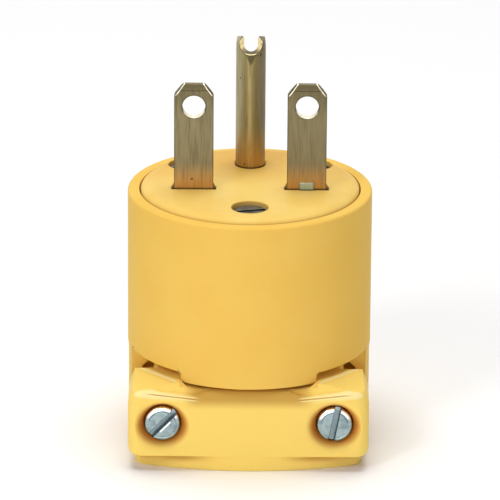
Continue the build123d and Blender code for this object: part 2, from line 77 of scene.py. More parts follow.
def addNode(tree, kind, settings=None, inputs=None, links=None):
    # one node, with its settings, its socket values and what feeds it
    node = tree.nodes.new(kind)
    for name, value in (settings or {}).items():
        setattr(node, name, value)
    for name, value in (inputs or {}).items():
        node.inputs[name].default_value = value
    for name, source in (links or {}).items():
        tree.links.new(source, node.inputs[name])
    return node


def newMaterial(name):
    material = bpy.data.materials.new(name)
    material.use_nodes = True
    tree = material.node_tree
    tree.nodes.clear()
    shader = addNode(tree, "ShaderNodeBsdfPrincipled")
    output = addNode(tree, "ShaderNodeOutputMaterial")
    tree.links.new(shader.outputs["BSDF"], output.inputs["Surface"])
    return material, tree, shader


def objectSpot(tree, stretch=(1, 1, 1)):
    # where the shaded point lies on the object, in millimetres, squeezed along chosen axes
    spot = addNode(tree, "ShaderNodeTexCoord").outputs["Object"]
    scale = [axis / mm for axis in stretch]
    return addNode(tree, "ShaderNodeVectorMath", {"operation": "MULTIPLY"}, {1: scale}, {0: spot}).outputs[0]


def axisOf(tree, spot, name):
    return addNode(tree, "ShaderNodeSeparateXYZ", links={0: spot}).outputs[name]


def calculate(tree, operation, first, second=0.0):
    # one sum, with numbers or node outputs
    node = addNode(tree, "ShaderNodeMath", {"operation": operation})
    for place, value in enumerate((first, second)):
        if isinstance(value, (int, float)):
            node.inputs[place].default_value = value
        else:
            tree.links.new(value, node.inputs[place])
    return node.outputs[0]


def times(tree, first, *others):
    for other in others:
        first = calculate(tree, "MULTIPLY", first, other)
    return first


def minus(tree, first, second):
    return calculate(tree, "SUBTRACT", first, second)


def gap(tree, first, second):
    # how far apart two values are
    return calculate(tree, "ABSOLUTE", minus(tree, first, second))


def distance(tree, across, upward):
    total = calculate(tree, "ADD", times(tree, across, across), times(tree, upward, upward))
    return calculate(tree, "SQRT", total)


def noise(tree, spot, size, detail=2.0):
    # blotches about size millimetres across
    return addNode(tree, "ShaderNodeTexNoise", inputs={"Scale": 1 / size, "Detail": detail},
                   links={"Vector": spot}).outputs[0]


def rise(tree, value, low, high, first=0.0, last=1.0):
    # runs smoothly from first to last while value goes from low to high
    return addNode(tree, "ShaderNodeMapRange", {"interpolation_type": "SMOOTHSTEP"},
                   {"From Min": low, "From Max": high, "To Min": first, "To Max": last},
                   {"Value": value}).outputs["Result"]


def blend(tree, amount, first, second):
    # colours given as sRGB hex or as node outputs
    node = addNode(tree, "ShaderNodeMix", {"data_type": "RGBA"}, links={0: amount})
    for place, colour in ((6, first), (7, second)):
        if isinstance(colour, str):
            node.inputs[place].default_value = toLinear(colour)
        else:
            tree.links.new(colour, node.inputs[place])
    return node.outputs[2]


def setBump(tree, shader, height, depth, strength):
    bump = addNode(tree, "ShaderNodeBump", inputs={"Strength": strength, "Distance": depth * mm},
                   links={"Height": height})
    tree.links.new(bump.outputs["Normal"], shader.inputs["Normal"])


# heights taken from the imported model, in millimetres, so that the pieces follow it
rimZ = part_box("shell")[1][2] / mm
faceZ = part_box("contact_carrier")[1][2] / mm
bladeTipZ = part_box("blade_left")[1][2] / mm
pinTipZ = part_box("ground_pin")[1][2] / mm
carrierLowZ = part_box("contact_carrier")[0][2] / mm
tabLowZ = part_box("blade_left")[0][2] / mm


def smoothStep(low, high, value):
    t = min(max((value - low) / (high - low), 0), 1)
    return t * t * (3 - 2 * t)


def makePiece(name, bm, smoothAngle=35):
    # a finished bmesh in millimetres becomes an object in metres, shaded smooth but for its sharp edges
    bmesh.ops.scale(bm, vec=(mm, mm, mm), verts=bm.verts)
    mesh = bpy.data.meshes.new(name)
    bm.to_mesh(mesh)
    bm.free()
    piece = bpy.data.objects.new(name, mesh)
    bpy.context.scene.collection.objects.link(piece)
    mesh.shade_smooth()
    mesh.set_sharp_from_angle(angle=radians(smoothAngle))
    return piece


def outlineFace(bm, corners, turn=Matrix()):
    # corners (a, b, round) in one plane become a face, each corner cut round by its own amount
    verts = [bm.verts.new(turn @ Vector((a, b, 0))) for a, b, _ in corners]
    bm.faces.new(verts)
    for size in sorted({corner[2] for corner in corners if corner[2] > 0}):
        chosen = [vert for vert, corner in zip(verts, corners) if corner[2] == size]
        bmesh.ops.bevel(bm, geom=chosen, offset=size, affect="VERTICES", segments=7, profile=0.5,
                        material=-1)


def prismMesh(corners, turn, depth):
    # an outline pushed straight through by depth along its own normal
    bm = bmesh.new()
    outlineFace(bm, corners, turn)
    bmesh.ops.remove_doubles(bm, verts=bm.verts, dist=0.001)
    base = bm.faces[:]
    pushed = bmesh.ops.extrude_face_region(bm, geom=base)
    far = [item for item in pushed["geom"] if isinstance(item, bmesh.types.BMVert)]
    bmesh.ops.translate(bm, verts=far, vec=(turn.to_3x3() @ Vector((0, 0, 1))) * depth)
    bmesh.ops.recalc_face_normals(bm, faces=bm.faces)
    return bm


def latheMesh(points, steps, turn=Matrix()):
    # points (radius, height) of a closed outline, spun round the axis of the frame called turn
    bm = bmesh.new()
    verts = [bm.verts.new((radius, 0, height)) for radius, height in points]
    edges = [bm.edges.new((verts[i - 1], verts[i])) for i in range(len(verts))
             if not (points[i - 1][0] == 0 and points[i][0] == 0)]
    bmesh.ops.spin(bm, geom=verts + edges, cent=(0, 0, 0), axis=(0, 0, 1), angle=2 * pi, steps=steps,
                   use_merge=True)
    bmesh.ops.remove_doubles(bm, verts=bm.verts, dist=0.001)
    bmesh.ops.transform(bm, matrix=turn, verts=bm.verts)
    bmesh.ops.recalc_face_normals(bm, faces=bm.faces)
    return bm


def roundedLine(corners, segments=6):
    # (radius, height, round) corners to a line of points, with arcs in place of the round ones
    line = []
    for i, (a, b, size) in enumerate(corners):
        if size == 0:
            line.append((a, b))
            continue
        here = Vector((a, b))
        before = (Vector(corners[i - 1][:2]) - here).normalized() * size
        after = (Vector(corners[(i + 1) % len(corners)][:2]) - here).normalized() * size
        for step in range(segments + 1):
            t = step / segments
            spot = here + before * (1 - t) ** 2 + after * t ** 2
            line.append((spot.x, spot.y))
    return line


def applied(piece):
    # the piece with its modifiers made part of its mesh
    graph = bpy.context.evaluated_depsgraph_get()
    graph.update()
    done = bpy.data.meshes.new_from_object(piece.evaluated_get(graph), depsgraph=graph)
    piece.modifiers.clear()
    old = piece.data
    piece.data = done
    bpy.data.meshes.remove(old)
    return piece


def carve(piece, cutters, operation="DIFFERENCE"):
    # cutters are bmeshes in millimetres; each is taken out of the piece, or added to it
    tools = [makePiece("cutter", bm) for bm in cutters]
    for tool in tools:
        boolean = piece.modifiers.new("carve", "BOOLEAN")
        boolean.operation = operation
        boolean.solver = "EXACT"
        boolean.object = tool
    applied(piece)
    for tool in tools:
        mesh = tool.data
        bpy.data.objects.remove(tool)
        bpy.data.meshes.remove(mesh)
    return piece


def soften(piece, width, segments=3, angle=38, clean=0.02):
    # small doubles go, then every sharp edge is rounded by width millimetres
    bm = bmesh.new()
    bm.from_mesh(piece.data)
    bmesh.ops.remove_doubles(bm, verts=bm.verts, dist=clean * mm)
    bmesh.ops.dissolve_degenerate(bm, edges=bm.edges, dist=clean * mm)
    bmesh.ops.dissolve_limit(bm, angle_limit=radians(0.3), verts=bm.verts, edges=bm.edges)
    bm.to_mesh(piece.data)
    bm.free()
    piece.data.shade_smooth()
    bevel = piece.modifiers.new("soften", "BEVEL")
    bevel.width = width * mm
    bevel.segments = segments
    bevel.limit_method = "ANGLE"
    bevel.angle_limit = radians(angle)
    bevel.use_clamp_overlap = False
    bevel.miter_outer = "MITER_ARC"
    weigh = piece.modifiers.new("weigh", "WEIGHTED_NORMAL")
    weigh.keep_sharp = True
    applied(piece)
    for vert in piece.data.vertices:
        vert.co.z = max(vert.co.z, 0)    # the rounding never dips under the cord end
    return piece


frontTurn = Matrix.Rotation(radians(90), 4, "X")    # outline (x, z), pushed towards -Y


def frontPlane(y):
    return Matrix.Translation((0, y, 0)) @ frontTurn


def frontAxis(x, y, z):
    # a lathe whose height runs towards -Y, from the point (x, y, z)
    return Matrix.Translation((x, y, z)) @ frontTurn


def boxMesh(low, high):
    bm = bmesh.new()
    bmesh.ops.create_cube(bm, size=1)
    size = Vector(high) - Vector(low)
    bmesh.ops.scale(bm, vec=size, verts=bm.verts)
    bmesh.ops.translate(bm, verts=bm.verts, vec=(Vector(high) + Vector(low)) / 2)
    return bm


# finishes, one dictionary of colours beside the function that uses it
vinyl = {"jaw": "#FDD974", "funnel": "#C97C33", "edge": "#FFF0B4", "dark": "#B88432", "back": "#D99F40",
         "grain": 0.35, "blotch": 9.0,
         # places on the jaw and the face, in millimetres
         "screwX": 13.9, "screwZ": 7.75, "funnelInner": 3.35, "funnelOuter": 4.6, "funnelY": -15.0,
         "squeeze": 1.12, "frontTop": 12.5, "frontSlope": 0.117, "slopeFrom": 8.0, "lipZ": 2.42,
         "ridge": 22.06, "shadeZ": (10.5, 12.5), "shadeX": (8.0, 11.0), "faceShadeY": (-4.0, 15.0),
         # painted highlight and shade lines of the jaw: which edge, how far past it, half their width, colour
         "paintedLines": (("ear", -1.7, 0.5, "edge"), ("front", 0.05, 0.13, "edge"),
                   ("front", -0.17, 0.13, "dark"), ("front", -0.38, 0.13, "edge"))}


def vinylMaterial(name, roughness, gloss, warm, pale):
    material, tree, shader = newMaterial(name)
    spot = objectSpot(tree)
    # cloudy change between two yellows, so that the moulding isn't one flat colour
    cloud = rise(tree, noise(tree, spot, vinyl["blotch"]), 0.35, 0.65)
    colour = blend(tree, cloud, warm, pale)
    x, y, z = (axisOf(tree, spot, axis) for axis in "XYZ")
    wide = calculate(tree, "ABSOLUTE", x)
    # painted shade: the face is a deeper yellow towards its back, where less light falls
    rearShade = times(tree, rise(tree, y, *vinyl["faceShadeY"], 0.0, 0.6),
                 rise(tree, z, faceZ - 0.4, faceZ - 0.2))
    colour = blend(tree, rearShade, colour, vinyl["back"])
    # painted light: the loose jaw is made a shade paler than the sleeve, for the light that reaches its front
    # from below
    ear = calculate(tree, "MAXIMUM", rise(tree, z, 13.9, 14.1, 1.0, 0.0), rise(tree, wide, 11.1, 11.2))
    onJaw = times(tree, ear, rise(tree, z, 14.6, 14.7, 1.0, 0.0))
    onJaw = times(tree, rise(tree, y, -6.5, -6.3, 1.0, 0.0), onJaw)
    colour = blend(tree, onJaw, colour, vinyl["jaw"])
    # painted highlight: pale band along the sloping top edge of the front, strongest at the ends
    past = calculate(tree, "MAXIMUM", minus(tree, wide, vinyl["slopeFrom"]), 0.0)
    rim = minus(tree, minus(tree, z, times(tree, past, vinyl["frontSlope"])), vinyl["frontTop"])
    highlightBand = times(tree, rise(tree, rim, -1.2, -0.6), rise(tree, wide, 7.0, 18.5, 0.05, 0.7),
                 rise(tree, y, -19.3, -19.0, 1.0, 0.0))
    colour = blend(tree, times(tree, highlightBand, onJaw), colour, vinyl["edge"])
    # shade under the tongue, between the ears
    shade = times(tree, rise(tree, z, *vinyl["shadeZ"]), rise(tree, wide, *vinyl["shadeX"], 0.7, 0.0))
    colour = blend(tree, times(tree, shade, onJaw), colour, vinyl["dark"])
    # painted highlight along the ridge on the ear's slope, and along the front's top edge a double crease
    # painted as highlight, shade and highlight
    slope = minus(tree, times(tree, minus(tree, wide, y), sin(pi / 4)), vinyl["ridge"])
    onTop = times(tree, rise(tree, z, 13.6, 13.9), rise(tree, wide, 11.2, 12.0))
    onFront = times(tree, rise(tree, wide, 7.6, 9.0), rise(tree, wide, 15.0, 17.0, 1.0, 0.0),
                    rise(tree, y, -19.0, -18.8, 0.9, 0.0))
    edges = {"ear": (slope, onTop), "front": (rim, onFront)}
    for edge, shift, half, tone in vinyl["paintedLines"]:
        line, where = edges[edge]
        near = times(tree, rise(tree, gap(tree, line, shift), 0.4 * half, half, 0.75, 0.0), where)
        colour = blend(tree, times(tree, near, onJaw), colour, vinyl[tone])
    # painted shadow: dark line over the lip at the jaw's foot, and darker above it, where the block overhangs
    # the lip
    lipShadow = rise(tree, gap(tree, z, vinyl["lipZ"]), 0.1, 0.24, 0.95, 0.0)
    under = times(tree, rise(tree, z, 0.9, 2.4), rise(tree, z, 2.45, 2.55, 0.9, 0.0))
    lipShadow = times(tree, calculate(tree, "MAXIMUM", lipShadow, under), rise(tree, wide, 4.0, 12.0))
    colour = blend(tree, times(tree, lipShadow, onJaw), colour, vinyl["dark"])
    # painted shade: deep orange inside the funnels round the clamp screws, standing in for their shade and
    # the light bounced among the yellow walls
    upward = times(tree, minus(tree, z, vinyl["screwZ"]), vinyl["squeeze"])
    away = distance(tree, minus(tree, wide, vinyl["screwX"]), upward)
    funnelShade = rise(tree, away, vinyl["funnelInner"], vinyl["funnelOuter"], 1.0, 0.0)
    forward = rise(tree, y, vinyl["funnelY"], vinyl["funnelY"] + 1, 1.0, 0.0)
    colour = blend(tree, times(tree, funnelShade, forward), colour, vinyl["funnel"])
    tree.links.new(colour, shader.inputs["Base Color"])
    # satin skin with the fine grain of a blasted mould
    shader.inputs["Roughness"].default_value = roughness
    shader.inputs["Specular IOR Level"].default_value = gloss
    shader.inputs["Subsurface Weight"].default_value = 0.2
    shader.inputs["Subsurface Radius"].default_value = (1.0, 0.45, 0.12)
    shader.inputs["Subsurface Scale"].default_value = 1.2 * mm
    setBump(tree, shader, noise(tree, spot, vinyl["grain"], 3.0), 0.02, 0.35)
    return material


brass = {"foot": "#BE8F4E", "middle": "#776D51", "tip": "#665D43", "shade": "#605A45", "speck": "#3E3A2C",
         "line": "#3F3A28", "bright": "#F6E2AC", "white": "#FFF6DE", "tab": "#A4B0A0",
         "pinLeft": "#A9A07E", "pinCentre": "#93855A", "pinRight": "#7A7056", "pinFoot": "#B48E52",
         "speckSize": 1.1,
         # blades: middle, half width, hole, crease of the coined tip and height of its cut corners
         "x": 9.13, "half": 3.175, "holeRadius": 1.875, "holeDown": 3.8, "creaseDown": 1.05,
         "cornerDown": 1.95, "cornerAcross": 0.802, "cornerUp": 0.597, "tabY": -3.48,
         # pin: where it starts, its notch (front and back half width, length, front) and the V under it
         "pinY": 6.0, "notch": (2.03, 1.15, 4.1, 6.825), "vee": (60.0, 60.8, 0.4)}


def bladePaint(tree, across, y, z):
    # painted reflection: orange foot, where the blade stands over the yellow face; olive middle, darker
    # towards the tip
    colour = blend(tree, rise(tree, z, faceZ - 0.5, faceZ + 5.0), brass["foot"], brass["middle"])
    colour = blend(tree, rise(tree, z, bladeTipZ - 6.5, bladeTipZ), colour, brass["tip"])
    # dark outline down both sides and across the coined tip
    beside = gap(tree, across, brass["x"])
    outline = rise(tree, beside, brass["half"] - 0.14, brass["half"] - 0.04, 0.0, 0.7)
    colour = blend(tree, outline, colour, brass["line"])
    crease = gap(tree, z, bladeTipZ - brass["creaseDown"])
    colour = blend(tree, rise(tree, crease, 0.03, 0.14, 0.75, 0.0), colour, brass["line"])
    # painted highlight on the lower wall of the punched hole, inside a dark ring
    upward = minus(tree, z, bladeTipZ - brass["holeDown"])
    away = distance(tree, beside, upward)
    hole = brass["holeRadius"]
    colour = blend(tree, rise(tree, away, hole + 0.1, hole + 0.22, 0.7, 0.0), colour, brass["line"])
    wall = times(tree, rise(tree, away, hole + 0.02, hole + 0.07, 1.0, 0.0),
                 rise(tree, upward, -1.2, -0.4, 1.0, 0.0))
    colour = blend(tree, wall, colour, brass["white"])
    # painted highlight along the cut corners of the tip
    corner = calculate(tree, "ADD", times(tree, minus(tree, beside, brass["half"]), brass["cornerAcross"]),
                       times(tree, minus(tree, z, bladeTipZ - brass["cornerDown"]), brass["cornerUp"]))
    edgeGlint = times(tree, rise(tree, gap(tree, corner, -0.16), 0.04, 0.1, 0.85, 0.0),
                 rise(tree, z, bladeTipZ - 2.0, bladeTipZ - 1.8))
    colour = blend(tree, edgeGlint, colour, brass["white"])
    # grey-green plating left on the small tab in front of the right blade
    tab = times(tree, rise(tree, y, brass["tabY"] - 0.04, brass["tabY"] + 0.04, 1.0, 0.0),
                rise(tree, z, faceZ - 1, faceZ))
    return blend(tree, tab, colour, brass["tab"])


def pinPaint(tree, x, across, y, z):
    # painted light: palest on the left and darkest on the right, as light falls on the round pin; less dulled
    # than the blades
    colour = blend(tree, rise(tree, x, -2.2, -0.4), brass["pinLeft"], brass["pinCentre"])
    colour = blend(tree, rise(tree, x, 0.6, 1.9), colour, brass["pinRight"])
    # painted reflection of the yellow face at the pin's foot
    colour = blend(tree, rise(tree, z, faceZ, faceZ + 8.0), brass["pinFoot"], colour)
    # painted shade: dark V under the notch, where a dimple is pressed in
    low, high, spread = brass["vee"]
    width = times(tree, minus(tree, z, low), spread)
    vee = rise(tree, minus(tree, across, width), -0.15, 0.15, 0.75, 0.0)
    colour = blend(tree, times(tree, vee, rise(tree, z, low, high)), colour, brass["line"])
    # dark rim and fresh metal where the notch was cut, shaded low down
    front, back, length, frontY = brass["notch"]
    deep = minus(tree, y, frontY)
    notch = calculate(tree, "ADD", times(tree, deep, (back - front) / length), front)
    drop = calculate(tree, "MINIMUM", minus(tree, z, pinTipZ + 0.03), 0.0)
    offCut = minus(tree, distance(tree, across, drop), notch)
    colour = blend(tree, rise(tree, offCut, 0.12, 0.3, 0.6, 0.0), colour, brass["line"])
    shaded = rise(tree, drop, -front * 0.9, -front * 0.45)
    fresh = blend(tree, shaded, brass["shade"], brass["bright"])
    fresh = blend(tree, rise(tree, deep, 0.12, 0.3), brass["bright"], fresh)
    return blend(tree, rise(tree, gap(tree, offCut, 0.0), 0.05, 0.1, 1.0, 0.0), colour, fresh)


def brassMaterial(name):
    material, tree, shader = newMaterial(name)
    spot = objectSpot(tree)
    x, y, z = (axisOf(tree, spot, axis) for axis in "XYZ")
    across = calculate(tree, "ABSOLUTE", x)
    behind = rise(tree, y, brass["pinY"] - 0.1, brass["pinY"] + 0.1)
    colour = blend(tree, behind, bladePaint(tree, across, y, z), pinPaint(tree, x, across, y, z))
    # faint upright streaks of the rolled strip, a few dark specks, and painted shade where the contacts enter
    # the face
    streak = noise(tree, objectSpot(tree, (1, 1, 0.06)), 0.28, 3.0)
    colour = blend(tree, rise(tree, streak, 0.45, 0.8, 0.0, 0.4), colour, brass["shade"])
    dots = rise(tree, noise(tree, spot, brass["speckSize"], 1.0), 0.74, 0.79)
    colour = blend(tree, dots, colour, brass["speck"])
    colour = blend(tree, rise(tree, z, faceZ + 0.05, faceZ + 0.4, 0.8, 0.0), colour, brass["line"])
    tree.links.new(colour, shader.inputs["Base Color"])
    shader.inputs["Metallic"].default_value = 1.0
    # roughness changes with the streaks, so that reflections break up along the strip
    tree.links.new(rise(tree, streak, 0.3, 0.7, 0.42, 0.56), shader.inputs["Roughness"])
    setBump(tree, shader, noise(tree, spot, 0.16, 2.0), 0.01, 0.25)
    return material


slots = {"angles": (46.0, 79.0), "half": 0.475, "rimRadius": 2.27, "arcRadius": 2.16, "glintOff": 0.68,
         "edge": "#3A464A", "floor": "#7A8C92", "bright": "#F4FAFB", "arc": "#53636A"}


def slotPaint(tree, tint):
    # the clamp screws' heads: painted shade in the slots and along their edges, a painted highlight on the
    # upper rim and painted shade in the arc under it
    x, y, z = (axisOf(tree, objectSpot(tree), axis) for axis in "XYZ")
    head = rise(tree, y, -17.9, -17.6, 1.0, 0.0)
    right = minus(tree, x, rise(tree, x, -0.1, 0.1, -vinyl["screwX"], vinyl["screwX"]))
    up = minus(tree, z, vinyl["screwZ"])
    sine, cosine = (rise(tree, x, -0.1, 0.1, *(turn(radians(angle)) for angle in slots["angles"]))
                    for turn in (sin, cos))
    off = minus(tree, times(tree, up, cosine), times(tree, right, sine))
    along = calculate(tree, "ADD", times(tree, right, cosine), times(tree, up, sine))
    away = distance(tree, right, up)
    beside = calculate(tree, "ABSOLUTE", off)
    rim = times(tree, rise(tree, away, slots["rimRadius"] - 0.05, slots["rimRadius"] + 0.05),
                rise(tree, up, 0.7, 1.4))
    arc = times(tree, rise(tree, gap(tree, away, slots["arcRadius"]), 0.04, 0.12, 0.8, 0.0),
                rise(tree, up, 0.0, 0.9))
    floor = rise(tree, beside, 0.4, 0.5, 1.0, 0.0)
    edge = rise(tree, gap(tree, beside, slots["half"]), 0.03, 0.1, 0.9, 0.0)
    # painted highlight along the lower side of the left screw's slot
    edgeGlint = times(tree, rise(tree, gap(tree, off, -slots["glintOff"]), 0.1, 0.18, 1.0, 0.0),
                 rise(tree, gap(tree, along, 0.0), 1.0, 1.4, 1.0, 0.0), rise(tree, x, -0.1, 0.1, 1.0, 0.0))
    for mark, tone in ((rim, "bright"), (arc, "arc"), (floor, "floor"), (edge, "edge"), (edgeGlint, "bright")):
        tint = blend(tree, times(tree, mark, head), tint, slots[tone])
    return tint


def platedMaterial(name, colour, shade, roughness, slotted=False):
    material, tree, shader = newMaterial(name)
    # plating clouded by handling, with fine scratches in one direction
    cloud = rise(tree, noise(tree, objectSpot(tree), 1.3, 3.0), 0.4, 0.7)
    scratch = noise(tree, objectSpot(tree, (0.12, 1, 1)), 0.07, 2.0)
    tint = blend(tree, cloud, colour, shade)
    tint = blend(tree, rise(tree, scratch, 0.62, 0.78, 0.0, 0.5), tint, shade)
    if slotted:
        tint = slotPaint(tree, tint)
    tree.links.new(tint, shader.inputs["Base Color"])
    shader.inputs["Metallic"].default_value = 1.0
    tree.links.new(rise(tree, scratch, 0.3, 0.8, roughness, roughness + 0.15), shader.inputs["Roughness"])
    setBump(tree, shader, scratch, 0.008, 0.3)
    return material


def boardMaterial(name):
    material, tree, shader = newMaterial(name)
    # pressed fibre, dark grey with paler threads
    thread = noise(tree, objectSpot(tree, (1, 0.2, 1)), 0.25, 4.0)
    colour = blend(tree, rise(tree, thread, 0.4, 0.7), "#242220", "#383430")
    tree.links.new(colour, shader.inputs["Base Color"])
    shader.inputs["Roughness"].default_value = 0.75
    setBump(tree, shader, thread, 0.02, 0.4)
    return material


finishes = {
    "yellow_shell": vinylMaterial("vinylYellow", 0.36, 0.008, "#F0C35E", "#F1C662"),
    "yellow_face": vinylMaterial("vinylFace", 0.34, 0.035, "#F0C86A", "#F3CF74"),
    "brass_contact": brassMaterial("brassContact"),
    "brass_screw": platedMaterial("brassTurned", "#C49C50", "#A07C3C", 0.26),
    "green_screw": platedMaterial("greenScrew", "#3A7A4A", "#2C5C3A", 0.35),
    "plated_steel": platedMaterial("nickelPlate", "#7C7C78", "#5C5C58", 0.3),
    "zinc_steel": platedMaterial("zincPlate", "#9FB1B6", "#7F9298", 0.2, True),
    "fibre_board": boardMaterial("fibreBoard"),
}
for part in frame["record"]["subparts"]:
    node = frame["nodes"][part["node"]]
    node.data.materials.clear()
    node.data.materials.append(finishes[part["material_slot"]])
slotOf = {part["node"]: part["material_slot"] for part in frame["record"]["subparts"]}


def standFor(piece, node):
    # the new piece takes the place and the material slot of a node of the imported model
    piece.data.materials.clear()
    piece.data.materials.append(finishes[slotOf[node]])
    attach(piece, "root")
    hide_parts(node)
    print("made", node, len(piece.data.polygons), "faces")


# shell: sleeve, floor and fixed rear jaw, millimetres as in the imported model
shell = {"radius": 19.85, "rimRound": 0.55, "rimWall": 1.88, "sleeveWall": 2.65, "ledge": 2.35,
         "jawRadius": 19.7, "jawBlend": 1.0, "sleeveZ": 15.8, "floor": 2.5, "lipHeight": 2.45,
         "lipInset": 1.0, "cordRadius": 6.5, "mouth": 1.2, "grooves": (5.25, 10.25), "grooveWidth": 2.4,
         "grooveDepth": 0.6, "tongueHalf": 11.0, "tongueDrop": 1.65, "tongueRound": 0.8,
         "splitY": -6.0, "relief": ((15.5, 12.2), (17.4, 12.2), (17.4, 12.66), (15.5, 14.5)),
         "reliefDepth": 2.6, "screwX": 13.9, "screwZ": 7.75, "holeRadius": 1.9, "nutSlot": (7.3, 2.9),
         "nutY": 0.2, "edge": 0.25, "steps": 288}


def makeShell():
    s = shell
    bore = s["radius"] - s["sleeveWall"]
    groove = s["cordRadius"] + s["grooveDepth"]
    half = s["grooveWidth"] / 2
    corners = [(s["cordRadius"] + s["mouth"], 0, 0.2), (s["jawRadius"] - s["lipInset"], 0, 0.5),
               (s["jawRadius"] - s["lipInset"], s["lipHeight"], 0.15), (s["jawRadius"], s["lipHeight"], 0.4),
               (s["jawRadius"], s["sleeveZ"] - s["jawBlend"], 0.5), (s["radius"], s["sleeveZ"], 0),
               (s["radius"] - 0.008, s["sleeveZ"] + 0.9, 0),    # ring that ends the bevel's shading
               (s["radius"], rimZ, s["rimRound"]), (s["radius"] - s["rimWall"], rimZ, 0.18),
               (s["radius"] - s["rimWall"], rimZ - s["ledge"], 0), (bore, rimZ - s["ledge"], 0),
               (bore, s["sleeveZ"] + s["floor"], 0.5), (s["cordRadius"], s["sleeveZ"] + s["floor"], 0.3)]
    for height in reversed(s["grooves"]):
        corners += [(s["cordRadius"], height + half, 0), (groove, height + half, 0),
                    (groove, height - half, 0), (s["cordRadius"], height - half, 0)]
    corners.append((s["cordRadius"], s["mouth"], 0.3))
    bm = latheMesh(roundedLine(corners), s["steps"])
    for vert in bm.verts:
        out = (vert.co.x ** 2 + vert.co.y ** 2) ** 0.5
        if vert.co.y < s["splitY"] + 0.3 and out > s["jawRadius"] - 0.01 and vert.co.z < s["sleeveZ"] + 0.8:
            vert.co.x *= s["radius"] / out    # the tongue in front lies flush with the sleeve
            vert.co.y *= s["radius"] / out
    piece = makePiece("moulded_shell", bm)
    wide = 2 * s["radius"]
    half, turn = s["tongueHalf"], s["tongueRound"]
    low, high = s["sleeveZ"] - s["tongueDrop"], s["sleeveZ"]
    front = prismMesh([(-wide, -5, 0), (-wide, high, 0), (-half, high, turn), (-half, low, turn),
                       (half, low, turn), (half, high, turn), (wide, high, 0), (wide, -5, 0)],
                      frontPlane(s["splitY"]), wide)
    cutters = [front, boxMesh((-s["cordRadius"], s["splitY"] - 1, -1), (s["cordRadius"], 0, s["sleeveZ"]))]
    for side in (-1, 1):
        relief = [(side * x, z, 0) for x, z in s["relief"]]
        cutters.append(prismMesh(relief, frontPlane(s["splitY"] + s["reliefDepth"]), s["reliefDepth"] + 1))
        wideSlot, deepSlot = s["nutSlot"]
        cutters.append(boxMesh((side * s["screwX"] - wideSlot / 2, s["nutY"] - deepSlot / 2, -1),
                               (side * s["screwX"] + wideSlot / 2, s["nutY"] + deepSlot / 2,
                                s["screwZ"] + wideSlot / 2)))
        hole = [(0, -5), (s["holeRadius"], -5), (s["holeRadius"], 8), (0, 8)]
        cutters.append(latheMesh(hole, 32, frontAxis(side * s["screwX"], 0, s["screwZ"])))
    carve(piece, cutters)
    soften(piece, s["edge"])
    standFor(piece, "shell")
    return piece


# clamp jaw: one sheet swept across the front, closed behind, then bored for its screws
jaw = {"halfWidth": 19.45, "frontY": -19.8, "backY": -6.6, "corner": 2.0, "lipZ": 2.45, "lipHalf": 18.3,
       "lipRadius": 52.0, "lipRound": 1.5, "footHalf": 18.7, "footRound": 1.5, "shoulderZ": 11.1,
       "topHalf": 18.4, "topZ": 14.5, "recessZ": 13.7, "recessRadius": 20.7, "recessHalf": 11.15,
       "frontTop": 12.5, "risePerX": 0.117, "riseFrom": 8.0, "risePerY": 0.75, "bevelStart": 22.06,
       "bevelSlope": 0.19, "spacing": 0.17, "crease": 0.26, "bead": 0.1,
       "stepX": 15.9, "stepLength": 4.2, "stepZ": 10.7, "screwX": 13.9, "screwZ": 7.75,
       "boreRadius": 2.99, "funnelRadius": 4.3, "funnelDepth": 2.0, "seat": 3.1, "holeRadius": 1.9,
       "saddleReach": 2.6, "saddleHalf": 6.1}


def jawWidth(z):
    # half width of the jaw's front view at height z
    if z < jaw["lipZ"] - 0.01:
        return jaw["lipHalf"]
    foot = min(max((z - jaw["lipZ"]) / jaw["footRound"], 0), 1)
    wide = jaw["footHalf"] + (jaw["halfWidth"] - jaw["footHalf"]) * (1 - (1 - foot) ** 2) ** 0.5
    draw = max(z - jaw["shoulderZ"], 0) / (jaw["topZ"] - jaw["shoulderZ"])
    return wide - (jaw["halfWidth"] - jaw["topHalf"]) * draw ** 1.3


def jawTop(a, y):
    # height of the jaw's top over the point (a, y): shoulder, ridge, ear and the recess for the tongue
    front = (jaw["frontTop"] + jaw["risePerX"] * max(a - jaw["riseFrom"], 0)
             + jaw["risePerY"] * (y - jaw["frontY"]))
    bevel = jaw["topZ"] - jaw["bevelSlope"] * ((a - y) * sin(pi / 4) - jaw["bevelStart"])
    over = min((front - jaw["topZ"]) / jaw["risePerY"], (bevel - jaw["topZ"]) / jaw["bevelSlope"])
    height = min(front, bevel, jaw["topZ"]) + jaw["bead"] * max(0, 1 - abs(over + 0.1) / 0.3)
    clear = smoothStep(-0.15, 0.15, jaw["recessRadius"] - (a * a + y * y) ** 0.5)
    clear *= smoothStep(-0.12, 0.12, jaw["recessHalf"] - a)
    height = min(height, height + (jaw["recessZ"] - height) * clear)
    # the ears step down behind, over the shell's two reliefs
    step = smoothStep(-0.1, 0.1, a - jaw["stepX"])
    step *= smoothStep(-0.1, 0.1, y - jaw["backY"] + jaw["stepLength"])
    return height + (min(height, jaw["stepZ"]) - height) * step


